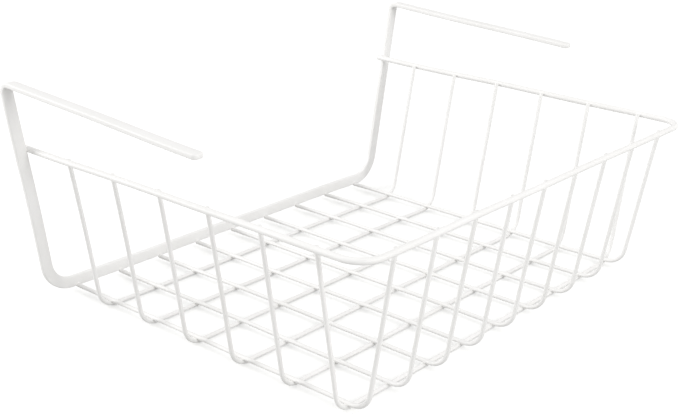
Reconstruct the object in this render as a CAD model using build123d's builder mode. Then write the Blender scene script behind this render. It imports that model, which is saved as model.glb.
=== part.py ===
from build123d import *
from math import cos, radians, sin, sqrt, tan
import os

# An under shelf basket of welded wire. A flat bar is bent into a hanger whose two arms slide over
# a shelf board, and the wire basket behind it hangs below the board. X runs across the basket,
# the arms point along +Y and Z is up. The origin is in the middle of the outline, on the level
# that the cross wires stand on. All sizes are in millimetres and degrees.

# Wire and bar stock
wire_diameter = 2.7
rim_diameter = 3.9
bar_width = 7.8
bar_thickness = 3.0
bar_edge_radius = 0.8
weld_set = 0.25  # how far two welded pieces sink into each other
wire_sides = 12  # the round wire is drawn with flats, which keeps the many bends light
rim_sides = 16

# Rim, measured along the axis of its wire
rim_width = 355.0
rim_level = 106.8
rim_corner_radius = 15.0
rim_stub = 2.0  # how far the rim's ends stand out in front of the hanger

# Cross wires, each bent into a U that carries the floor and the two side walls
cross_count = 6
cross_pitch = 40.0
side_lean = 11.3
side_bend_radius = 14.0
tip_rise = 0.7  # the ends of all upright wires over the rim's axis

# Long wires, each bent into an L that runs over the floor and up the rear wall
long_count = 9
long_inset = 8.2  # from the floor's side corners to the outermost long wires
front_margin = 36.6  # from the hanger's middle plane to the first cross wire
rear_margin = 14.4  # from the last cross wire to the corner of floor and rear wall
rear_lean = 8.8
rear_bend_radius = 13.0
fan_share = 1.016  # spread of the long wires at the rim, as a share of their spread on the floor

# Hanger
arm_level = 152.5  # top of the arms above the hanger's middle plane
arm_length = 169.5
arm_droop = 2.8
arm_bend_radius = 5.0
arm_tip_radius = 3.0
leg_lean = 10.0
leg_bend_radius = 20.0

os.makedirs("parts", exist_ok=True)

# Radii of the stock
wire_radius = wire_diameter / 2
rim_radius = rim_diameter / 2

# Levels: the long wires lie on the cross wires, and the hanger's lower run stands on their axes
cross_level = wire_radius
long_level = cross_level + wire_diameter - weld_set
bar_level = long_level + bar_width / 2
tip_level = rim_level + tip_rise

# Side walls: the cross wires rise to the inside of the rim
rim_x = rim_width / 2
wall_gap = rim_radius + wire_radius - weld_set
side_top_x = rim_x - wall_gap / cos(radians(side_lean))
side_corner_x = side_top_x - (rim_level - cross_level) * tan(radians(side_lean))
side_tip_x = side_top_x + tip_rise * tan(radians(side_lean))
bend_start_x = side_corner_x - side_bend_radius * tan(radians(90 - side_lean) / 2)

# Places along Y, from the front ends of the rim to the back of the rear rim
floor_depth = front_margin + (cross_count - 1) * cross_pitch + rear_margin
wall_reach = (rim_level - long_level) * tan(radians(rear_lean))
rim_reach = wall_gap / cos(radians(rear_lean))
front_reach = rim_stub + bar_thickness / 2
overall_depth = front_reach + floor_depth + wall_reach + rim_reach + rim_radius
front_y = -overall_depth / 2
bar_y = front_y + front_reach
first_cross_y = bar_y + front_margin
rear_corner_y = bar_y + floor_depth
rear_tip_y = rear_corner_y + (tip_level - long_level) * tan(radians(rear_lean))
rear_rim_y = rear_corner_y + wall_reach + rim_reach

# Spacing of the long wires over the floor
long_spread = side_corner_x - long_inset
long_pitch = 2 * long_spread / (long_count - 1)


def rest_level(x):
    """Level of a long wire's axis where it rests on the cross wires' floor or on their bend."""
    past_bend = max(abs(x) - bend_start_x, 0)
    reach = side_bend_radius - wire_diameter + weld_set
    return cross_level + side_bend_radius - sqrt(reach**2 - past_bend**2)


# Hanger: a U of flat bar seen from the front, with an arm bent back from the top of each leg
leg_x = rim_x + (rim_radius - weld_set + bar_width / 2) / cos(radians(leg_lean))
leg_corner_x = leg_x - (rim_level - bar_level) * tan(radians(leg_lean))
leg_end_x = leg_x + (arm_level - rim_level) * tan(radians(leg_lean))
arm_start_level = arm_level - bar_thickness / 2 - arm_bend_radius
arm_x = leg_x + (arm_start_level - rim_level) * tan(radians(leg_lean))
arm_width = bar_width / cos(radians(leg_lean))
arm_reach = arm_length - bar_thickness / 2 - arm_bend_radius
arm_run = arm_reach / cos(radians(arm_droop)) - arm_bend_radius * tan(radians(arm_droop))

with BuildPart() as hanger_strap:
    # Floor run and legs, seen from the front; the legs end level, where the arms begin
    with BuildSketch(Plane.XZ.offset(-bar_y)):
        with BuildLine():
            FilletPolyline(
                (-leg_end_x, arm_level),
                (-leg_corner_x, bar_level),
                (leg_corner_x, bar_level),
                (leg_end_x, arm_level),
                radius=leg_bend_radius,
            )
        trace(line_width=bar_width)
    extrude(amount=bar_thickness / 2, both=True)
    split(bisect_by=Plane.XY.offset(arm_start_level), keep=Keep.BOTTOM)
    # Arms, seen from the side: a tight bend, then a straight run that droops towards the tip
    for side_x in (-arm_x, arm_x):
        with BuildSketch(Plane.YZ.offset(side_x)):
            with BuildLine():
                arm_bend = JernArc(
                    start=(bar_y, arm_start_level),
                    tangent=(0, 1),
                    radius=arm_bend_radius,
                    arc_size=-90 - arm_droop,
                )
                PolarLine(arm_bend @ 1, arm_run, direction=arm_bend % 1)
            trace(line_width=bar_thickness)
        extrude(amount=arm_width / 2, both=True)
    arm_normal = Axis((0, 0, 0), (0, sin(radians(arm_droop)), cos(radians(arm_droop))))
    tip_edges = hanger_strap.edges().filter_by(arm_normal).group_by(Axis.Y)[-1]
    fillet(tip_edges, radius=arm_tip_radius)
    fillet(hanger_strap.edges(), radius=bar_edge_radius)

hanger_strap.part.label = "hanger_strap"
export_step(hanger_strap.part, "parts/hanger_strap.step")

with BuildPart() as rim_wire:
    with BuildLine(Plane.XY.offset(rim_level)) as rim_path:
        FilletPolyline(
            (rim_x, front_y),
            (rim_x, rear_rim_y),
            (-rim_x, rear_rim_y),
            (-rim_x, front_y),
            radius=rim_corner_radius,
        )
    with BuildSketch(Plane(origin=rim_path.line @ 0, z_dir=rim_path.line % 0)):
        RegularPolygon(rim_radius, rim_sides)
    sweep()

rim_wire.part.label = "rim_wire"
export_step(rim_wire.part, "parts/rim_wire.step")

for number in range(1, cross_count + 1):
    with BuildPart() as cross_wire:
        with BuildLine(Plane.XZ.offset(-first_cross_y - (number - 1) * cross_pitch)) as cross_path:
            FilletPolyline(
                (-side_tip_x, tip_level),
                (-side_corner_x, cross_level),
                (side_corner_x, cross_level),
                (side_tip_x, tip_level),
                radius=side_bend_radius,
            )
        with BuildSketch(Plane(origin=cross_path.line @ 0, z_dir=cross_path.line % 0)):
            RegularPolygon(wire_radius, wire_sides)
        sweep()
    cross_wire.part.label = f"cross_wire_{number}"
    export_step(cross_wire.part, f"parts/cross_wire_{number}.step")

for number in range(1, long_count + 1):
    floor_x = long_spread - (number - 1) * long_pitch
    floor_level = rest_level(floor_x)
    with BuildPart() as long_wire:
        with BuildLine() as long_path:
            FilletPolyline(
                (floor_x, bar_y + bar_thickness / 2 - weld_set, floor_level),
                (floor_x, rear_corner_y, floor_level),
                (floor_x * fan_share, rear_tip_y, tip_level),
                radius=rear_bend_radius,
            )
        with BuildSketch(Plane(origin=long_path.line @ 0, z_dir=long_path.line % 0)):
            RegularPolygon(wire_radius, wire_sides)
        sweep()
    long_wire.part.label = f"long_wire_{number}"
    export_step(long_wire.part, f"parts/long_wire_{number}.step")
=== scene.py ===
"""Under shelf basket of welded wire on a flat bar hanger, stoved in white powder coat.

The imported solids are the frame. Each wire, the rim and the hanger are drawn again as round and
rolled stock with coated ends, the welds get their small fillets, and a pale floor, soft studio
light and the photograph's camera complete the picture. Lengths are in metres, angles in degrees.
"""

from __future__ import annotations

import logging
import math
from dataclasses import dataclass, field
from enum import Enum

import bpy
from mathutils import Matrix, Vector


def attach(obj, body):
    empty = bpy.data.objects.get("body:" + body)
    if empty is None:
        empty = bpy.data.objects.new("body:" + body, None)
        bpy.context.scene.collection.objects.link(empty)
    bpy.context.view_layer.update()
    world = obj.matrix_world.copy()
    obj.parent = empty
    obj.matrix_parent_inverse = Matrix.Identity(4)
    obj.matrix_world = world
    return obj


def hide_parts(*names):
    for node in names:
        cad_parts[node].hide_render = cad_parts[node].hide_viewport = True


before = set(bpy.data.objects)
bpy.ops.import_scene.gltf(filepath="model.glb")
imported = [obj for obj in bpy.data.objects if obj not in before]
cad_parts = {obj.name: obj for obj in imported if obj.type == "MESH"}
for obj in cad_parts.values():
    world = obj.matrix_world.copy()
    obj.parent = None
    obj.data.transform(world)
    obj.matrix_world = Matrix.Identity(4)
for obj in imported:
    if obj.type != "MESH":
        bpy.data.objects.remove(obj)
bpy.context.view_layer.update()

LOG = logging.getLogger("under_shelf_basket")
MM = 0.001
SAME_POINT = 0.001 * MM  # points this near to each other are merged
SMOOTH_ANGLE = 40.0  # edges that turn by less are shaded smooth
ACROSS, BACK, UP = Vector((1, 0, 0)), Vector((0, 1, 0)), Vector((0, 0, 1))


class Side(Enum):
    """The two sides of the basket, as the sign of their X."""

    RIGHT = 1
    LEFT = -1


class Seen(Enum):
    """The kinds of ray for which a white background stands in."""

    DIRECTLY = "Is Camera Ray"
    IN_GLOSS = "Is Glossy Ray"
    THROUGH_GLASS = "Is Transmission Ray"


# Small helpers


def clear_selection() -> None:
    """Leaves object mode and deselects everything, so that an operator acts on one piece only."""
    if bpy.context.object and bpy.context.object.mode != "OBJECT":
        bpy.ops.object.mode_set(mode="OBJECT")
    bpy.ops.object.select_all(action="DESELECT")


def make_active(piece: bpy.types.Object) -> None:
    """Selects one piece and makes it the active object."""
    clear_selection()
    piece.select_set(True)
    bpy.context.view_layer.objects.active = piece


def linear(code: str) -> tuple[float, float, float, float]:
    """Turns an sRGB hex colour into the linear colour that the shaders take.

    Args:
        code: Six hex digits, such as "F2F2F0".

    Returns:
        Red, green, blue and an alpha of 1.
    """
    parts = [int(code[place : place + 2], 16) / 255 for place in (0, 2, 4)]
    red, green, blue = (p / 12.92 if p <= 0.04045 else ((p + 0.055) / 1.055) ** 2.4 for p in parts)
    return red, green, blue, 1.0


def add_node(
    tree: bpy.types.NodeTree,
    kind: str,
    links: dict[str | int, object] | None = None,
    **settings: object,
) -> bpy.types.Node:
    """Adds one node with its settings, socket values and incoming links.

    Args:
        tree: The node tree that gets the node.
        kind: The node's type name.
        links: For each input, by name or number, a value or an output socket to link from.
        **settings: Attributes of the node itself, such as operation="ADD".

    Returns:
        The new node.
    """
    node = tree.nodes.new(kind)
    for name, value in settings.items():
        setattr(node, name, value)
    for name, value in (links or {}).items():
        if isinstance(value, bpy.types.NodeSocket):
            tree.links.new(value, node.inputs[name])
        else:
            node.inputs[name].default_value = value
    return node


def add_ramp(
    tree: bpy.types.NodeTree, factor: bpy.types.NodeSocket, stops: dict[float, str]
) -> bpy.types.NodeSocket:
    """Adds a colour ramp with two stops.

    Args:
        tree: The node tree that gets the ramp.
        factor: What the ramp follows.
        stops: The sRGB hex colour at each of two places between 0 and 1.

    Returns:
        The ramp's colour.
    """
    ramp = add_node(tree, "ShaderNodeValToRGB", {"Fac": factor})
    for element, (place, code) in zip(ramp.color_ramp.elements, stops.items()):
        element.position, element.color = place, linear(code)
    return ramp.outputs["Color"]


def new_tree(owner: bpy.types.ID) -> bpy.types.NodeTree:
    """Switches a material or world to nodes and empties its tree."""
    owner.use_nodes = True
    owner.node_tree.nodes.clear()
    return owner.node_tree


def rest_in_frame(piece: bpy.types.Object, name: str) -> bpy.types.Object:
    """Puts a finished piece's place into its mesh and lets it ride on the basket's one body.

    Args:
        piece: The piece, in object mode.
        name: The piece's name.

    Returns:
        The same piece.
    """
    make_active(piece)
    bpy.ops.object.transform_apply(location=True, rotation=True, scale=True)
    WAVINESS.bend(piece)
    piece.name = piece.data.name = name
    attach(piece, "root")
    LOG.info("%s: %d faces", name, len(piece.data.polygons))
    return piece


def spin_section(steps: int, turn: float, centre: Vector, axis: Vector) -> None:
    """Spins the selected section round a bend.

    Args:
        steps: How many facets the bend gets.
        turn: Angle of the bend in radians, right-handed round the axis.
        centre: A point on the bend's axis.
        axis: Direction of the bend's axis.
    """
    # The spin operator turns left-handed, hence the sign
    bpy.ops.mesh.spin(steps=steps, angle=-turn, center=centre, axis=axis)


def extrude_section(move: Vector, step: float) -> None:
    """Extrudes the selected section straight on.

    Args:
        move: How far and which way the section goes.
        step: About how far apart the rings along the run are.
    """
    steps = max(1, round(move.length / step))
    for _ in range(steps):
        bpy.ops.mesh.extrude_region_move(TRANSFORM_OT_translate={"value": move / steps})


@dataclass(frozen=True)
class HandWaviness:
    """The slight unevenness of wire that is bent and welded by hand.

    Every piece is shifted by the same smooth field, so that wires which touch go on touching.

    Attributes:
        length: Size of the field's waves.
        reach: How far apart the field can shift two points along one axis.
    """

    length: float = 85.0 * MM
    reach: float = 0.9 * MM

    def bend(self, piece: bpy.types.Object) -> None:
        """Shifts a piece's points by the field and applies it.

        Args:
            piece: The active piece, with its place in its mesh.
        """
        if "hand_waviness" not in bpy.data.textures:
            clouds = bpy.data.textures.new("hand_waviness", "CLOUDS")
            clouds.cloud_type, clouds.noise_scale, clouds.noise_depth = "COLOR", self.length, 0
        shift = piece.modifiers.new("hand_waviness", "DISPLACE")
        shift.texture = bpy.data.textures["hand_waviness"]
        shift.texture_coords, shift.direction = "GLOBAL", "RGB_TO_XYZ"
        shift.strength = self.reach
        bpy.ops.object.modifier_apply(modifier=shift.name)


WAVINESS = HandWaviness()


# Sizes


@dataclass(frozen=True)
class BasketSizes:
    """The basket's driving sizes, as the source of the solids has them.

    X runs across the basket, the arms point along +Y and Z is up. The rim and the wires are
    measured along their axes, and every lean is in degrees out of the upright.
    """

    # Stock
    wire_radius: float = 1.35 * MM
    rim_radius: float = 1.95 * MM
    bar_width: float = 7.8 * MM
    bar_thickness: float = 3.0 * MM
    bar_edge_radius: float = 0.8 * MM
    weld_set: float = 0.25 * MM  # how far two welded pieces sink into each other
    # Rim
    rim_width: float = 355.0 * MM
    rim_level: float = 106.8 * MM
    rim_corner_radius: float = 15.0 * MM
    rim_stub: float = 2.0 * MM  # its ends, in front of the hanger
    # Cross wires, which carry the floor and the side walls
    cross_count: int = 6
    cross_pitch: float = 40.0 * MM
    side_lean: float = 11.3
    side_bend_radius: float = 14.0 * MM
    tip_rise: float = 0.7 * MM  # the ends of all upright wires, over the rim's axis
    # Long wires, which carry the floor and the rear wall
    long_count: int = 9
    long_inset: float = 8.2 * MM  # from the floor's corners to the outermost ones
    front_margin: float = 36.6 * MM  # from the hanger to the first cross wire
    rear_margin: float = 14.4 * MM  # from the last cross wire to the rear corner
    rear_lean: float = 8.8
    rear_bend_radius: float = 13.0 * MM
    fan_share: float = 1.016  # their spread at the rim, as a share of that on the floor
    # Hanger
    arm_level: float = 152.5 * MM
    arm_length: float = 169.5 * MM
    arm_droop: float = 2.8
    arm_bend_radius: float = 5.0 * MM
    arm_tip_radius: float = 3.0 * MM
    leg_lean: float = 10.0
    leg_bend_radius: float = 20.0 * MM

    @property
    def cross_level(self) -> float:
        """Level of the cross wires' axes over the floor."""
        return self.wire_radius

    @property
    def long_level(self) -> float:
        """Level of the long wires' axes, which lie on the cross wires."""
        return 3 * self.wire_radius - self.weld_set

    @property
    def bar_level(self) -> float:
        """Level of the middle of the hanger's lower run."""
        return self.long_level + self.bar_width / 2

    @property
    def tip_level(self) -> float:
        """Level at which the upright wires end."""
        return self.rim_level + self.tip_rise

    @property
    def wall_gap(self) -> float:
        """Distance of an upright wire's axis from the rim's axis."""
        return self.rim_radius + self.wire_radius - self.weld_set

    @property
    def side_slope(self) -> float:
        """Outward reach of a side wall for each metre that it rises."""
        return math.tan(math.radians(self.side_lean))

    @property
    def rear_slope(self) -> float:
        """Backward reach of the rear wall for each metre that it rises."""
        return math.tan(math.radians(self.rear_lean))

    @property
    def leg_slope(self) -> float:
        """Outward reach of the hanger's leg for each metre that it rises."""
        return math.tan(math.radians(self.leg_lean))

    @property
    def rim_x(self) -> float:
        """Half the rim's width along its axis."""
        return self.rim_width / 2

    @property
    def side_top_x(self) -> float:
        """X of a side wall's wires at the rim's level."""
        return self.rim_x - self.wall_gap / math.cos(math.radians(self.side_lean))

    @property
    def side_corner_x(self) -> float:
        """X of the corner between floor and side wall."""
        return self.side_top_x - (self.rim_level - self.cross_level) * self.side_slope

    @property
    def bend_start_x(self) -> float:
        """X at which a cross wire's bend starts."""
        turn = math.radians(90 - self.side_lean)
        return self.side_corner_x - self.side_bend_radius * math.tan(turn / 2)

    @property
    def rest_radius(self) -> float:
        """Distance of a resting long wire's axis from the centre of the cross wires' bend."""
        return self.side_bend_radius - 2 * self.wire_radius + self.weld_set

    @property
    def side_tip_x(self) -> float:
        """X of the cross wires' ends."""
        return self.side_top_x + self.tip_rise * self.side_slope

    @property
    def tip_past_joint(self) -> float:
        """How far a side wall's wires run on past their joints with the rim."""
        lean = math.radians(self.side_lean)
        return (self.tip_rise - self.wall_gap * math.sin(lean)) / math.cos(lean)

    @property
    def rim_reach(self) -> float:
        """Distance of the rear rim's axis behind the rear wall at the same level."""
        return self.wall_gap / math.cos(math.radians(self.rear_lean))

    @property
    def wall_reach(self) -> float:
        """Backward reach of the rear wall between the floor and the rim."""
        return (self.rim_level - self.long_level) * self.rear_slope

    @property
    def floor_depth(self) -> float:
        """Depth of the floor from the hanger to the rear corner."""
        return self.front_margin + (self.cross_count - 1) * self.cross_pitch + self.rear_margin

    @property
    def front_y(self) -> float:
        """Y of the rim's front ends."""
        front_reach = self.rim_stub + self.bar_thickness / 2
        depth = front_reach + self.floor_depth + self.wall_reach + self.rim_reach + self.rim_radius
        return -depth / 2

    @property
    def bar_y(self) -> float:
        """Y of the hanger's middle plane."""
        return self.front_y + self.rim_stub + self.bar_thickness / 2

    @property
    def rear_corner_y(self) -> float:
        """Y of the corner between floor and rear wall."""
        return self.bar_y + self.floor_depth

    @property
    def rear_tip_y(self) -> float:
        """Y of the long wires' upper ends."""
        return self.rear_corner_y + (self.tip_level - self.long_level) * self.rear_slope

    @property
    def rear_rim_y(self) -> float:
        """Y of the rear rim's axis."""
        return self.rear_corner_y + self.wall_reach + self.rim_reach

    @property
    def arm_start_level(self) -> float:
        """Level at which the leg turns into the arm's bend."""
        return self.arm_level - self.bar_thickness / 2 - self.arm_bend_radius

    @property
    def leg_x(self) -> float:
        """X of the leg's middle at the rim's level."""
        reach = self.rim_radius - self.weld_set + self.bar_width / 2
        return self.rim_x + reach / math.cos(math.radians(self.leg_lean))

    def cross_y(self, number: int) -> float:
        """Y of a cross wire, counted from the front and from 1."""
        return self.bar_y + self.front_margin + (number - 1) * self.cross_pitch

    def long_x(self, number: int) -> float:
        """X of a long wire on the floor, counted from the right and from 1."""
        spread = self.side_corner_x - self.long_inset
        return spread * (1 - 2 * (number - 1) / (self.long_count - 1))

    def rest_level(self, x: float) -> float:
        """Level of a long wire's axis where it lies on the cross wires' floor or on their bend."""
        past_bend = max(abs(x) - self.bend_start_x, 0)
        below_centre = math.sqrt(self.rest_radius**2 - past_bend**2)
        return self.cross_level + self.side_bend_radius - below_centre


SIZES = BasketSizes()


# Finish


@dataclass(frozen=True)
class Noise:
    """A cloudy noise, measured on the object.

    Attributes:
        width: How far one cloud reaches, in metres.
        detail: How many finer layers lie on the clouds.
        roughness: How strong each finer layer is against the one before.
    """

    width: float
    detail: float
    roughness: float

    def add(self, tree: bpy.types.NodeTree, place: bpy.types.NodeSocket) -> bpy.types.NodeSocket:
        """Adds the noise to a tree and returns its value, between 0 and 1."""
        noise = add_node(
            tree,
            "ShaderNodeTexNoise",
            {
                "Vector": place,
                "Scale": 1 / self.width,
                "Detail": self.detail,
                "Roughness": self.roughness,
            },
        )
        return noise.outputs["Fac"]


@dataclass(frozen=True)
class PowderCoat:
    """White polyester powder coat on steel, sprayed dry and stoved.

    The powder melts into a thick soft-gloss film. It shows the eye a fine orange peel, a tone that
    drifts where the film is thicker, and a gloss that is never quite even. The stock grows by the
    film's build on every side.

    Attributes:
        name: The material's name.
        film: Tone where the film is thin, as sRGB hex.
        thick_film: Tone where it is thick.
        gloss_roughness: Roughness where the film is thin.
        dull_roughness: Roughness where it is thick.
        refraction: Refractive index of the film.
        film_build: Thickness of the film.
        peel: The grains of the orange peel.
        peel_height: Height of those grains.
        drift: How the film's thickness drifts.
        drift_low: Value of the drift up to which the film counts as thin.
        drift_high: Value of the drift from which it counts as thick.
    """

    name: str = "stoved_polyester_powder_coat"
    film: str = "F4F3F2"
    thick_film: str = "F0EFED"
    gloss_roughness: float = 0.42
    dull_roughness: float = 0.54
    refraction: float = 1.5
    film_build: float = 0.08 * MM
    peel: Noise = Noise(width=1.4 * MM, detail=1.0, roughness=0.4)
    peel_height: float = 0.02 * MM
    drift: Noise = Noise(width=45.0 * MM, detail=2.0, roughness=0.5)
    drift_low: float = 0.3
    drift_high: float = 0.7

    def material(self) -> bpy.types.Material:
        """Makes the material, or returns it where it is made already."""
        if self.name in bpy.data.materials:
            return bpy.data.materials[self.name]
        made = bpy.data.materials.new(self.name)
        tree = new_tree(made)
        place = add_node(tree, "ShaderNodeTexCoord").outputs["Object"]
        # The film's thickness drifts slowly along the stock, and with it the tone and the gloss
        drift = self.drift.add(tree, place)
        stops = {self.drift_low: self.film, self.drift_high: self.thick_film}
        gloss = add_node(
            tree,
            "ShaderNodeMapRange",
            {
                "Value": drift,
                "From Min": self.drift_low,
                "From Max": self.drift_high,
                "To Min": self.gloss_roughness,
                "To Max": self.dull_roughness,
            },
        )
        # Orange peel: the grains flow together but not quite flat
        bump = add_node(
            tree,
            "ShaderNodeBump",
            {"Height": self.peel.add(tree, place), "Distance": self.peel_height, "Strength": 1.0},
        )
        coat = add_node(
            tree,
            "ShaderNodeBsdfPrincipled",
            {
                "Base Color": add_ramp(tree, drift, stops),
                "Roughness": gloss.outputs["Result"],
                "Normal": bump.outputs["Normal"],
                "IOR": self.refraction,
            },
        )
        add_node(tree, "ShaderNodeOutputMaterial", {"Surface": coat.outputs["BSDF"]})
        return made

    def dress(self, piece: bpy.types.Object) -> None:
        """Gives a piece this finish as its only material."""
        piece.data.materials.clear()
        piece.data.materials.append(self.material())


COAT = PowderCoat()
# In the creases of the welds the powder gathers thicker, a touch creamier and smoother
POOLED_COAT = PowderCoat(
    name="pooled_powder_coat",
    film="F2F1EF",
    thick_film="EEEDEA",
    gloss_roughness=0.34,
    peel_height=0.01 * MM,
)


# Round stock


@dataclass
class BentRod:
    """Round stock run straight and bent, as a wire bender makes it.

    Attributes:
        radius: Radius of the bare stock.
        sides: Facets round the stock.
        ring_step: Distance of the rings along a straight run.
        bend_step: Degrees between the rings of a bend.
        end_round: Radius at the edges of the cut ends.
        end_segments: Facets of that rounding.
        film_build: How much the coat adds to the radius.
        piece: The rod that is being drawn.
        heading: The way its free end faces.
    """

    radius: float
    sides: int = 24
    ring_step: float = 11.0 * MM
    bend_step: float = 9.0
    end_round: float = 0.4 * MM
    end_segments: int = 3
    film_build: float = COAT.film_build
    piece: bpy.types.Object | None = field(default=None, init=False)
    heading: Vector = field(default_factory=lambda: Vector(ACROSS), init=False)

    def follow(self, corners: list[Vector], bend_radius: float) -> bpy.types.Object:
        """Draws the rod from its first corner to its last with one radius at each turn.

        Args:
            corners: Where the straight runs' axes start, meet and end.
            bend_radius: Radius of every bend, along the axis.

        Returns:
            The closed rod, in object mode.
        """
        self.start(corners[0], corners[1] - corners[0])
        place = corners[0]
        for corner, beyond in zip(corners[1:-1], corners[2:]):
            onward = (beyond - corner).normalized()
            turn = self.heading.angle(onward)
            setback = bend_radius * math.tan(turn / 2)
            self.run((corner - place).length - setback)
            axis = self.heading.cross(onward).normalized()
            centre = corner - self.heading * setback + axis.cross(self.heading) * bend_radius
            self.bend(centre, axis, turn)
            place = corner + onward * setback
        self.run((corners[-1] - place).length)
        return self.close()

    def start(self, place: Vector, heading: Vector) -> None:
        """Adds the rod's first end face, square to the way it is to run."""
        self.heading = heading.normalized()
        clear_selection()
        bpy.ops.mesh.primitive_circle_add(
            vertices=self.sides,
            radius=self.radius + self.film_build,
            fill_type="NGON",
            location=place,
            rotation=self.heading.to_track_quat("Z", "Y").to_euler(),
        )
        self.piece = bpy.context.object
        bpy.ops.object.mode_set(mode="EDIT")
        bpy.ops.mesh.select_mode(type="FACE")
        bpy.ops.mesh.select_all(action="SELECT")

    def run(self, length: float) -> None:
        """Extrudes the selected end face straight on, ring by ring."""
        extrude_section(self.heading * length, self.ring_step)

    def bend(self, centre: Vector, axis: Vector, turn: float) -> None:
        """Spins the selected end face round a bend.

        Args:
            centre: A point on the bend's axis.
            axis: Direction of the bend's axis.
            turn: How far the rod turns, in radians.
        """
        steps = max(1, round(math.degrees(turn) / self.bend_step))
        spin_section(steps, turn, centre, axis)
        self.heading = Matrix.Rotation(turn, 3, axis) @ self.heading

    def close(self) -> bpy.types.Object:
        """Rounds the coated ends, points the faces outward and smooths the round surface."""
        bpy.ops.mesh.select_all(action="SELECT")
        bpy.ops.mesh.remove_doubles(threshold=SAME_POINT)
        bpy.ops.mesh.normals_make_consistent(inside=False)
        bpy.ops.mesh.select_all(action="DESELECT")
        bpy.ops.object.mode_set(mode="OBJECT")
        for face in self.piece.data.polygons:
            face.select = len(face.vertices) == self.sides
        bpy.ops.object.mode_set(mode="EDIT")
        bpy.ops.mesh.bevel(offset=self.end_round, segments=self.end_segments, affect="EDGES")
        bpy.ops.object.mode_set(mode="OBJECT")
        bpy.ops.object.shade_smooth_by_angle(angle=math.radians(SMOOTH_ANGLE))
        return self.piece


# Sub-assemblies


@dataclass
class FloorAndWalls:
    """The welded wires: U-shaped cross wires, and L-shaped long wires that lie on them.

    Attributes:
        sizes: The basket's sizes.
        finish: The coat of the wires.
    """

    sizes: BasketSizes = SIZES
    finish: PowderCoat = COAT

    def build(self) -> list[bpy.types.Object]:
        """Builds and dresses all wires.

        Returns:
            The wires, cross wires first.
        """
        return self.cross_wires() + self.long_wires()

    def cross_wires(self) -> list[bpy.types.Object]:
        """Bends one cross wire and copies it along the basket."""
        s = self.sizes
        y = s.cross_y(1)
        corners = [
            Vector((-s.side_tip_x, y, s.tip_level)),
            Vector((-s.side_corner_x, y, s.cross_level)),
            Vector((s.side_corner_x, y, s.cross_level)),
            Vector((s.side_tip_x, y, s.tip_level)),
        ]
        first = BentRod(s.wire_radius).follow(corners, s.side_bend_radius)
        made = [first]
        for number in range(2, s.cross_count + 1):
            make_active(first)
            bpy.ops.object.duplicate_move(
                OBJECT_OT_duplicate={"linked": False},
                TRANSFORM_OT_translate={"value": BACK * s.cross_pitch * (number - 1)},
            )
            made.append(bpy.context.object)
        for number, wire in enumerate(made, 1):
            self.dress(wire, f"round_cross_wire_{number}", f"cross_wire_{number}")
        return made

    def long_wires(self) -> list[bpy.types.Object]:
        """Bends each long wire, because every one leans sideways by its own amount."""
        s = self.sizes
        made = []
        for number in range(1, s.long_count + 1):
            x = s.long_x(number)
            level = s.rest_level(x)
            corners = [
                Vector((x, s.bar_y + s.bar_thickness / 2 - s.weld_set, level)),
                Vector((x, s.rear_corner_y, level)),
                Vector((x * s.fan_share, s.rear_tip_y, s.tip_level)),
            ]
            wire = BentRod(s.wire_radius).follow(corners, s.rear_bend_radius)
            self.dress(wire, f"round_long_wire_{number}", f"long_wire_{number}")
            made.append(wire)
        return made

    def dress(self, wire: bpy.types.Object, name: str, node: str) -> None:
        """Finishes one wire and lets it stand for its solid."""
        self.finish.dress(wire)
        rest_in_frame(wire, name)
        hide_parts(node)


@dataclass
class Rim:
    """The thicker wire round the top, whose front ends stand out past the hanger.

    Attributes:
        sizes: The basket's sizes.
        finish: The coat of the rim.
        sides: Facets round the wire.
        bend_step: Degrees between the rings of a corner.
        end_round: Radius at the edges of the cut ends.
    """

    sizes: BasketSizes = SIZES
    finish: PowderCoat = COAT
    sides: int = 32
    bend_step: float = 6.0
    end_round: float = 0.6 * MM

    def build(self) -> bpy.types.Object:
        """Bends and dresses the rim."""
        s = self.sizes
        corners = [
            Vector((s.rim_x, s.front_y, s.rim_level)),
            Vector((s.rim_x, s.rear_rim_y, s.rim_level)),
            Vector((-s.rim_x, s.rear_rim_y, s.rim_level)),
            Vector((-s.rim_x, s.front_y, s.rim_level)),
        ]
        rod = BentRod(
            s.rim_radius, sides=self.sides, bend_step=self.bend_step, end_round=self.end_round
        )
        rim = rod.follow(corners, s.rim_corner_radius)
        self.finish.dress(rim)
        rest_in_frame(rim, "round_rim")
        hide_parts("rim_wire")
        return rim


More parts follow.
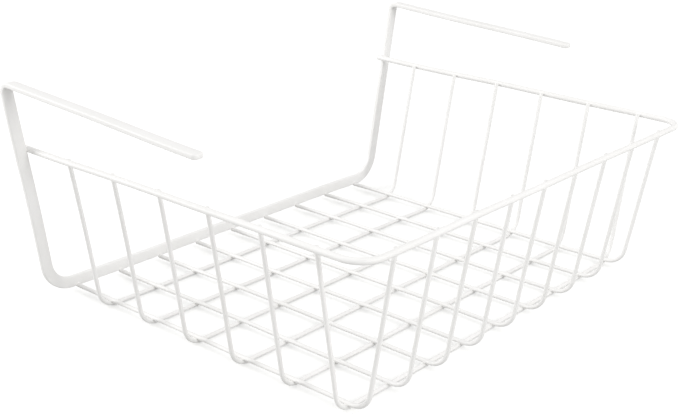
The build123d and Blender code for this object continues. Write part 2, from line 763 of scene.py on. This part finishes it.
@dataclass
class Hanger:
    """The flat bar bent into a wide U, with an arm bent back from the top of each leg.

    Attributes:
        sizes: The basket's sizes.
        finish: The coat, which adds its film to the bar.
        ring_step: Distance of the rings along a straight run.
        leg_facets: Facets of the bend between floor run and leg.
        arm_facets: Facets of the bend between leg and arm.
        tip_facets: Facets of each rounded corner at the arms' tips.
        edge_facets: Facets of the rolled edges.
        edge_angle: Edges that turn by more are rolled.
        middle_gap: How near to the middle plane the halves are joined.
        tip_length: How far back from the tip its corners are looked for.
    """

    sizes: BasketSizes = SIZES
    finish: PowderCoat = COAT
    ring_step: float = 14.0 * MM
    leg_facets: int = 14
    arm_facets: int = 10
    tip_facets: int = 8
    edge_facets: int = 4
    edge_angle: float = 35.0
    middle_gap: float = 0.01 * MM
    tip_length: float = 2.0 * MM

    def build(self) -> bpy.types.Object:
        """Draws one half of the bar, mirrors it and rounds its edges."""
        s = self.sizes
        self.draw_half()
        bar = bpy.context.object
        mirror = bar.modifiers.new("other_half", "MIRROR")
        mirror.use_axis[0] = mirror.use_clip = True
        mirror.merge_threshold = self.middle_gap
        bpy.ops.object.modifier_apply(modifier=mirror.name)
        bpy.ops.object.mode_set(mode="EDIT")
        bpy.ops.mesh.select_all(action="SELECT")
        bpy.ops.mesh.remove_doubles(threshold=SAME_POINT)
        bpy.ops.mesh.normals_make_consistent(inside=False)
        bpy.ops.object.mode_set(mode="OBJECT")
        self.round_tips(bar)
        rounding = bar.modifiers.new("rolled_edges", "BEVEL")
        rounding.limit_method, rounding.angle_limit = "ANGLE", math.radians(self.edge_angle)
        rounding.width, rounding.segments = s.bar_edge_radius, self.edge_facets
        bpy.ops.object.modifier_apply(modifier=rounding.name)
        bpy.ops.object.shade_smooth_by_angle(angle=math.radians(SMOOTH_ANGLE))
        self.finish.dress(bar)
        rest_in_frame(bar, "rolled_bar_hanger")
        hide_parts("hanger_strap")
        return bar

    def draw_half(self) -> None:
        """Draws the right half of the bar from the middle of the floor run to the arm's tip."""
        s = self.sizes
        lean, droop = math.radians(s.leg_lean), math.radians(s.arm_droop)
        turn = math.radians(90 - s.leg_lean)
        leg_corner_x = s.leg_x - (s.rim_level - s.bar_level) * s.leg_slope
        setback = s.leg_bend_radius * math.tan(turn / 2)
        film = 2 * self.finish.film_build
        clear_selection()
        # The section stands upright in the middle of the basket, facing across
        bpy.ops.mesh.primitive_plane_add(
            size=1, location=(0, s.bar_y, s.bar_level), rotation=(0, math.pi / 2, 0)
        )
        bpy.ops.transform.resize(value=(1, s.bar_thickness + film, s.bar_width + film))
        bpy.ops.object.transform_apply(location=True, rotation=True, scale=True)
        bpy.ops.object.mode_set(mode="EDIT")
        bpy.ops.mesh.select_mode(type="FACE")
        bpy.ops.mesh.select_all(action="SELECT")
        extrude_section(ACROSS * (leg_corner_x - setback), self.ring_step)
        centre = Vector((leg_corner_x - setback, s.bar_y, s.bar_level + s.leg_bend_radius))
        spin_section(self.leg_facets, turn, centre, -BACK)
        leg = Vector((math.sin(lean), 0, math.cos(lean)))
        extrude_section(leg * (s.arm_level - s.bar_level), self.ring_step)
        # The leg is cut level where the arm's bend starts
        bpy.ops.mesh.select_all(action="SELECT")
        bpy.ops.mesh.bisect(
            plane_co=UP * s.arm_start_level, plane_no=UP, use_fill=True, clear_outer=True
        )
        bpy.ops.mesh.select_mode(type="FACE")
        centre = Vector((0, s.bar_y + s.arm_bend_radius, s.arm_start_level))
        spin_section(self.arm_facets, math.radians(90 + s.arm_droop), centre, -ACROSS)
        reach = s.arm_length - s.bar_thickness / 2 - s.arm_bend_radius
        run = reach / math.cos(droop) - s.arm_bend_radius * math.tan(droop)
        extrude_section(Vector((0, math.cos(droop), -math.sin(droop))) * run, self.ring_step)
        # The section in the middle goes, so that the halves join into one bar
        bpy.ops.object.mode_set(mode="OBJECT")
        bar = bpy.context.object
        for face in bar.data.polygons:
            face.select = abs(face.center.x) < self.middle_gap
        bpy.ops.object.mode_set(mode="EDIT")
        bpy.ops.mesh.delete(type="FACE")
        bpy.ops.object.mode_set(mode="OBJECT")

    def round_tips(self, bar: bpy.types.Object) -> None:
        """Rounds the corners of the arms' tips, seen from above."""
        s = self.sizes
        tip_y = max(vertex.co.y for vertex in bar.data.vertices)
        make_active(bar)
        bpy.ops.object.mode_set(mode="EDIT")
        bpy.ops.mesh.select_mode(type="EDGE")
        bpy.ops.mesh.select_all(action="DESELECT")
        bpy.ops.object.mode_set(mode="OBJECT")
        points = bar.data.vertices
        for edge in bar.data.edges:
            one, other = (points[index].co for index in edge.vertices)
            at_tip = min(one.y, other.y) > tip_y - self.tip_length
            edge.select = at_tip and abs(one.z - other.z) > s.bar_thickness / 2
        bpy.ops.object.mode_set(mode="EDIT")
        bpy.ops.mesh.bevel(offset=s.arm_tip_radius, segments=self.tip_facets, affect="EDGES")
        bpy.ops.object.mode_set(mode="OBJECT")


@dataclass
class Welds:
    """The fillets at the spot welds, where the melt and the powder fill the crease.

    A fillet is a pair of short stubs melted into one. Inside the stock they stay hidden, and only
    the filled crease shows. On the floor and at the rim, where all joints of a kind are alike,
    one fillet is modelled and copied to the others.

    Attributes:
        sizes: The basket's sizes.
        finish: The coat of the fillets.
        stub: How far a stub runs on past its joint.
        stub_sides: Facets round a round stub.
        edge_facets: Facets at the edges of a flat stub.
        grain: Size of the grains that the stubs are melted from.
        hair: How much thinner a flat stub is than the bar.
        melting: How many times the melted shape is smoothed.
        kept_share: Share of the faces that is kept.
    """

    sizes: BasketSizes = SIZES
    finish: PowderCoat = POOLED_COAT
    stub: float = 3.2 * MM
    stub_sides: int = 24
    edge_facets: int = 2
    grain: float = 0.22 * MM
    hair: float = 0.16 * MM
    melting: int = 14
    kept_share: float = 0.22

    def build(self) -> None:
        """Builds and dresses the fillets of the floor, the rim and the hanger."""
        self.join("floor_weld_fillets", self.floor_joints())
        self.join("rim_weld_fillets", self.rim_joints())
        self.join("hanger_weld_fillets", self.hanger_joints())

    def melted(self, stubs: list[bpy.types.Object]) -> bpy.types.Object:
        """Melts stubs into one shape with a filled crease.

        Args:
            stubs: The stubs, which are used up.

        Returns:
            The fillet, in object mode.
        """
        make_active(stubs[0])
        for stub in stubs:
            stub.select_set(True)
        bpy.ops.object.join()
        fillet = bpy.context.object
        bpy.ops.object.transform_apply(location=True, rotation=True, scale=True)
        grains = fillet.modifiers.new("melt", "REMESH")
        grains.mode, grains.voxel_size = "VOXEL", self.grain
        flow = fillet.modifiers.new("flow", "SMOOTH")
        flow.iterations = self.melting
        fewer = fillet.modifiers.new("fewer_faces", "DECIMATE")
        fewer.ratio = self.kept_share
        for name in ("melt", "flow", "fewer_faces"):
            bpy.ops.object.modifier_apply(modifier=name)
        bpy.ops.object.shade_smooth()
        return fillet

    def round_stub(self, radius: float, start: Vector, end: Vector) -> bpy.types.Object:
        """Adds a short round stub from one point to another."""
        clear_selection()
        bpy.ops.mesh.primitive_cylinder_add(
            vertices=self.stub_sides,
            radius=radius,
            depth=(end - start).length,
            location=(start + end) / 2,
            rotation=(end - start).to_track_quat("Z", "Y").to_euler(),
        )
        return bpy.context.object

    def crossing(self, radius: float, ahead: float) -> bpy.types.Object:
        """Models the fillet between a wire along X and round stock along Y that lies over it.

        Args:
            radius: Radius of the stock.
            ahead: How far the wire runs on past the joint.

        Returns:
            The fillet, with the wire's axis at the joint at the origin.
        """
        lift = UP * (radius + self.sizes.wire_radius - self.sizes.weld_set)
        wire = self.round_stub(self.sizes.wire_radius, ACROSS * -self.stub, ACROSS * ahead)
        stock = self.round_stub(radius, lift - BACK * self.stub, lift + BACK * self.stub)
        return self.melted([wire, stock])

    def copies(self, fillet: bpy.types.Object, frames: list[Matrix]) -> list[bpy.types.Object]:
        """Copies a fillet to its joints and removes the pattern.

        Args:
            fillet: The modelled fillet.
            frames: Where each copy's origin and axes go.

        Returns:
            The copies, each with its own mesh.
        """
        made = []
        for place in frames:
            make_active(fillet)
            bpy.ops.object.duplicate(linked=False)
            bpy.context.object.matrix_world = place
            made.append(bpy.context.object)
        make_active(fillet)
        bpy.ops.object.delete()
        return made

    def floor_joints(self) -> list[bpy.types.Object]:
        """Puts a fillet where each long wire lies on each cross wire."""
        s = self.sizes
        frames = []
        for number in range(1, s.long_count + 1):
            x = s.long_x(number)
            # The outermost long wires lie on the cross wires' bends, so their joints lean
            past_bend = math.copysign(max(abs(x) - s.bend_start_x, 0), x)
            lean = -math.asin(past_bend / s.rest_radius)
            turn = Matrix.Rotation(lean, 4, BACK)
            drop = turn @ (UP * (2 * s.wire_radius - s.weld_set))
            for row in range(1, s.cross_count + 1):
                joint = Vector((x, s.cross_y(row), s.rest_level(x))) - drop
                frames.append(Matrix.Translation(joint) @ turn)
        return self.copies(self.crossing(s.wire_radius, self.stub), frames)

    def rim_joints(self) -> list[bpy.types.Object]:
        """Puts a fillet where each upright wire meets the inside of the rim."""
        s = self.sizes
        frames = []
        for side in Side:
            lean = math.radians(s.side_lean) * side.value
            up = Vector((math.sin(lean), 0, math.cos(lean)))
            out = Vector((math.cos(lean), 0, -math.sin(lean))) * side.value
            for number in range(1, s.cross_count + 1):
                rim = Vector((s.rim_x * side.value, s.cross_y(number), s.rim_level))
                frames.append(self.joint_frame(rim - out * s.wall_gap, up, out))
        for number in range(1, s.long_count + 1):
            x = s.long_x(number)
            tip = Vector((x * s.fan_share, s.rear_tip_y, s.tip_level))
            up = (tip - Vector((x, s.rear_corner_y, s.rest_level(x)))).normalized()
            out = up.cross(ACROSS).normalized()
            rim = Vector((tip.x, s.rear_rim_y, s.rim_level))
            frames.append(self.joint_frame(rim - out * s.wall_gap, up, out))
        # The rear wires' ends are so nearly like the side wires' that they share one fillet
        return self.copies(self.crossing(s.rim_radius, s.tip_past_joint), frames)

    def joint_frame(self, place: Vector, wire: Vector, out: Vector) -> Matrix:
        """Places a crossing so that its wire and the stock over it lie as a joint needs them.

        Args:
            place: The wire's axis at the joint.
            wire: Direction of the wire.
            out: Direction from the wire to the stock that crosses it.

        Returns:
            The frame whose X is the wire and whose Z is outward.
        """
        wire, out = wire.normalized(), out.normalized()
        turn = Matrix((wire, out.cross(wire), out)).transposed().to_4x4()
        return Matrix.Translation(place) @ turn

    def hanger_joints(self) -> list[bpy.types.Object]:
        """Puts a fillet where the long wires and the rim meet the flat bar."""
        s = self.sizes
        face_y = s.bar_y + s.bar_thickness / 2
        made = []
        for number in range(1, s.long_count + 1):
            x = s.long_x(number)
            level = s.rest_level(x)
            start = Vector((x, face_y - s.weld_set, level))
            wire = self.round_stub(s.wire_radius, start, start + BACK * self.stub)
            bar = self.flat_stub(Vector((x, s.bar_y, s.bar_level)), 0.0)
            made.append(self.melted([wire, bar]))
        for side in Side:
            middle = Vector((s.rim_x * side.value, s.bar_y, s.rim_level))
            rim = self.round_stub(
                s.rim_radius, middle - BACK * s.rim_stub, middle + BACK * self.stub
            )
            middle = Vector((s.leg_x * side.value, s.bar_y, s.rim_level))
            leg = self.flat_stub(middle, 90 + s.leg_lean * side.value)
            made.append(self.melted([rim, leg]))
        return made

    def flat_stub(self, place: Vector, lean: float) -> bpy.types.Object:
        """Adds a short stub of the hanger's bar, turned about Y by a number of degrees."""
        s = self.sizes
        clear_selection()
        bpy.ops.mesh.primitive_cube_add(size=1, location=place, rotation=(0, math.radians(lean), 0))
        block = bpy.context.object
        # A hair thinner than the bar, so that only the filled crease stands out of it
        block.scale = (2 * self.stub, s.bar_thickness - self.hair, s.bar_width - self.hair)
        rounding = block.modifiers.new("rolled_edges", "BEVEL")
        rounding.width, rounding.segments = s.bar_edge_radius / 2, self.edge_facets
        bpy.ops.object.transform_apply(location=False, rotation=False, scale=True)
        bpy.ops.object.modifier_apply(modifier=rounding.name)
        return block

    def join(self, name: str, fillets: list[bpy.types.Object]) -> None:
        """Joins the fillets of one kind of joint into one piece and dresses it."""
        make_active(fillets[0])
        for fillet in fillets:
            fillet.select_set(True)
        bpy.ops.object.join()
        piece = bpy.context.object
        self.finish.dress(piece)
        rest_in_frame(piece, name)


# Studio


@dataclass(frozen=True)
class Softbox:
    """One large soft lamp that faces the basket.

    Attributes:
        name: The lamp's name.
        place: Where it hangs.
        width: Its diameter.
        watts: Its power.
        aim_level: Level of the point over the origin at which it is aimed.
    """

    name: str
    place: tuple[float, float, float]
    width: float
    watts: float
    aim_level: float = 60.0 * MM

    def build(self) -> None:
        """Hangs the lamp and aims it at the basket's middle."""
        clear_selection()
        bpy.ops.object.light_add(type="AREA", location=self.place)
        lamp = bpy.context.object
        lamp.name = self.name
        lamp.data.shape, lamp.data.size, lamp.data.energy = "DISK", self.width, self.watts
        aim = UP * self.aim_level - lamp.location
        lamp.rotation_euler = aim.to_track_quat("-Z", "Y").to_euler()


@dataclass
class Studio:
    """Pale floor, white surroundings, soft lamps and the photograph's camera.

    Attributes:
        floor_size: Width of the square floor.
        floor_drop: How far the floor lies below the solids.
        floor_tones: The two tones of the floor's mottled paper, where it lights the basket.
        pulp: The paper's mottling.
        seen_tone: The floor's tone where it is seen, with the basket's shadow on it.
        seen_glow: White that is added to the floor where it is seen near the basket.
        far_glow: White that is added past the lamps' light.
        near_reach: Distance from the origin up to which the near glow holds.
        far_reach: Distance from which the far glow holds.
        white: The surroundings.
        fill_level: Strength at which the surroundings light the basket.
        image_width: Width of the photograph in pixels.
        focal_pixels: Focal length of the photograph's camera in those pixels.
        camera_place: Where the camera stands.
        camera_right: The way the picture's right side points.
        camera_up: The way the picture's top points.
        lamps: The soft lamps.
    """

    floor_size: float = 12.0
    floor_drop: float = 0.4 * MM
    floor_tones: tuple[str, str] = ("BCBCBB", "BEBEBD")
    pulp: Noise = Noise(width=60.0 * MM, detail=2.0, roughness=0.5)
    seen_tone: str = "EEEEED"
    seen_glow: float = 0.25
    far_glow: float = 0.4
    near_reach: float = 0.6
    far_reach: float = 1.6
    white: str = "FFFFFF"
    fill_level: float = 0.79
    image_width: int = 679
    focal_pixels: float = 1224.5
    camera_place: tuple[float, float, float] = (0.61338, 0.48056, 0.34148)
    camera_right: tuple[float, float, float] = (-0.645546, 0.763212, 0.027897)
    camera_up: tuple[float, float, float] = (-0.246430, -0.242732, 0.938272)
    lamps: tuple[Softbox, ...] = (
        Softbox("key_softbox", (1.61, -1.92, 0.73), 1.0, 28.0),
        Softbox("fill_softbox", (0.21, 2.43, 0.95), 1.0, 22.0),
        Softbox("top_softbox", (-0.24, 1.36, 2.26), 1.2, 2.0),
    )

    def build(self) -> None:
        """Builds the surroundings and sets the camera."""
        self.surround()
        self.floor()
        for lamp in self.lamps:
            lamp.build()
        self.camera()

    def seen(self, tree: bpy.types.NodeTree) -> bpy.types.NodeSocket:
        """Adds nodes that are 1 for a ray to which the background shows, and 0 for one that lights.

        Args:
            tree: The node tree of the floor or the world.

        Returns:
            The output that carries the factor.
        """
        path = add_node(tree, "ShaderNodeLightPath")
        total = path.outputs[Seen.DIRECTLY.value]
        for kind in (Seen.IN_GLOSS, Seen.THROUGH_GLASS):
            total = add_node(
                tree, "ShaderNodeMath", {0: total, 1: path.outputs[kind.value]}, operation="MAXIMUM"
            ).outputs[0]
        return total

    def surround(self) -> None:
        """Makes the world: plain white where it is seen, an even fill where it lights."""
        world = bpy.data.worlds.new("white_surround")
        bpy.context.scene.world = world
        tree = new_tree(world)
        white = add_node(tree, "ShaderNodeBackground", {"Color": linear(self.white)})
        fill = add_node(
            tree,
            "ShaderNodeBackground",
            {"Color": linear(self.white), "Strength": self.fill_level},
        )
        mix = add_node(
            tree,
            "ShaderNodeMixShader",
            {0: self.seen(tree), 1: fill.outputs[0], 2: white.outputs[0]},
        )
        add_node(tree, "ShaderNodeOutputWorld", {"Surface": mix.outputs[0]})

    def floor(self) -> None:
        """Lays the pale floor, which is seen nearly white and keeps the basket's soft shadow.

        It lies a little below the solids, because the uneven wires reach that far down.
        """
        clear_selection()
        bpy.ops.mesh.primitive_plane_add(size=self.floor_size, location=UP * -self.floor_drop)
        floor = bpy.context.object
        floor.name = "pale_floor"
        paper = bpy.data.materials.new("matt_backdrop_paper")
        tree = new_tree(paper)
        place = add_node(tree, "ShaderNodeTexCoord").outputs["Object"]
        tone = add_ramp(tree, self.pulp.add(tree, place), dict(enumerate(self.floor_tones)))
        sheet = add_node(tree, "ShaderNodeBsdfDiffuse", {"Color": tone})
        pale = add_node(tree, "ShaderNodeBsdfDiffuse", {"Color": linear(self.seen_tone)})
        reach = add_node(tree, "ShaderNodeVectorMath", {0: place}, operation="LENGTH")
        strength = add_node(
            tree,
            "ShaderNodeMapRange",
            {
                "Value": reach.outputs["Value"],
                "From Min": self.near_reach,
                "From Max": self.far_reach,
                "To Min": self.seen_glow,
                "To Max": self.far_glow,
            },
        )
        glow = add_node(
            tree,
            "ShaderNodeEmission",
            {"Color": linear(self.white), "Strength": strength.outputs["Result"]},
        )
        shown = add_node(tree, "ShaderNodeAddShader", {0: pale.outputs[0], 1: glow.outputs[0]})
        mix = add_node(
            tree,
            "ShaderNodeMixShader",
            {0: self.seen(tree), 1: sheet.outputs[0], 2: shown.outputs[0]},
        )
        add_node(tree, "ShaderNodeOutputMaterial", {"Surface": mix.outputs[0]})
        floor.data.materials.append(paper)

    def camera(self) -> None:
        """Puts the camera where the photograph was taken from."""
        right, up = Vector(self.camera_right).normalized(), Vector(self.camera_up)
        back = right.cross(up).normalized()
        up = back.cross(right)
        turn = Matrix((right, up, back)).transposed().to_euler()
        clear_selection()
        bpy.ops.object.camera_add(location=self.camera_place, rotation=turn)
        camera = bpy.context.object
        camera.name = "photograph_camera"
        camera.data.sensor_fit = "HORIZONTAL"
        camera.data.lens = camera.data.sensor_width * self.focal_pixels / self.image_width
        bpy.context.scene.camera = camera


def main() -> None:
    """Builds the basket and its studio."""
    logging.basicConfig(level=logging.INFO, format="%(name)s: %(message)s")
    bpy.context.scene.view_settings.view_transform = "Standard"
    Hanger().build()
    Rim().build()
    FloorAndWalls().build()
    Welds().build()
    Studio().build()


if __name__ == "__main__":
    main()
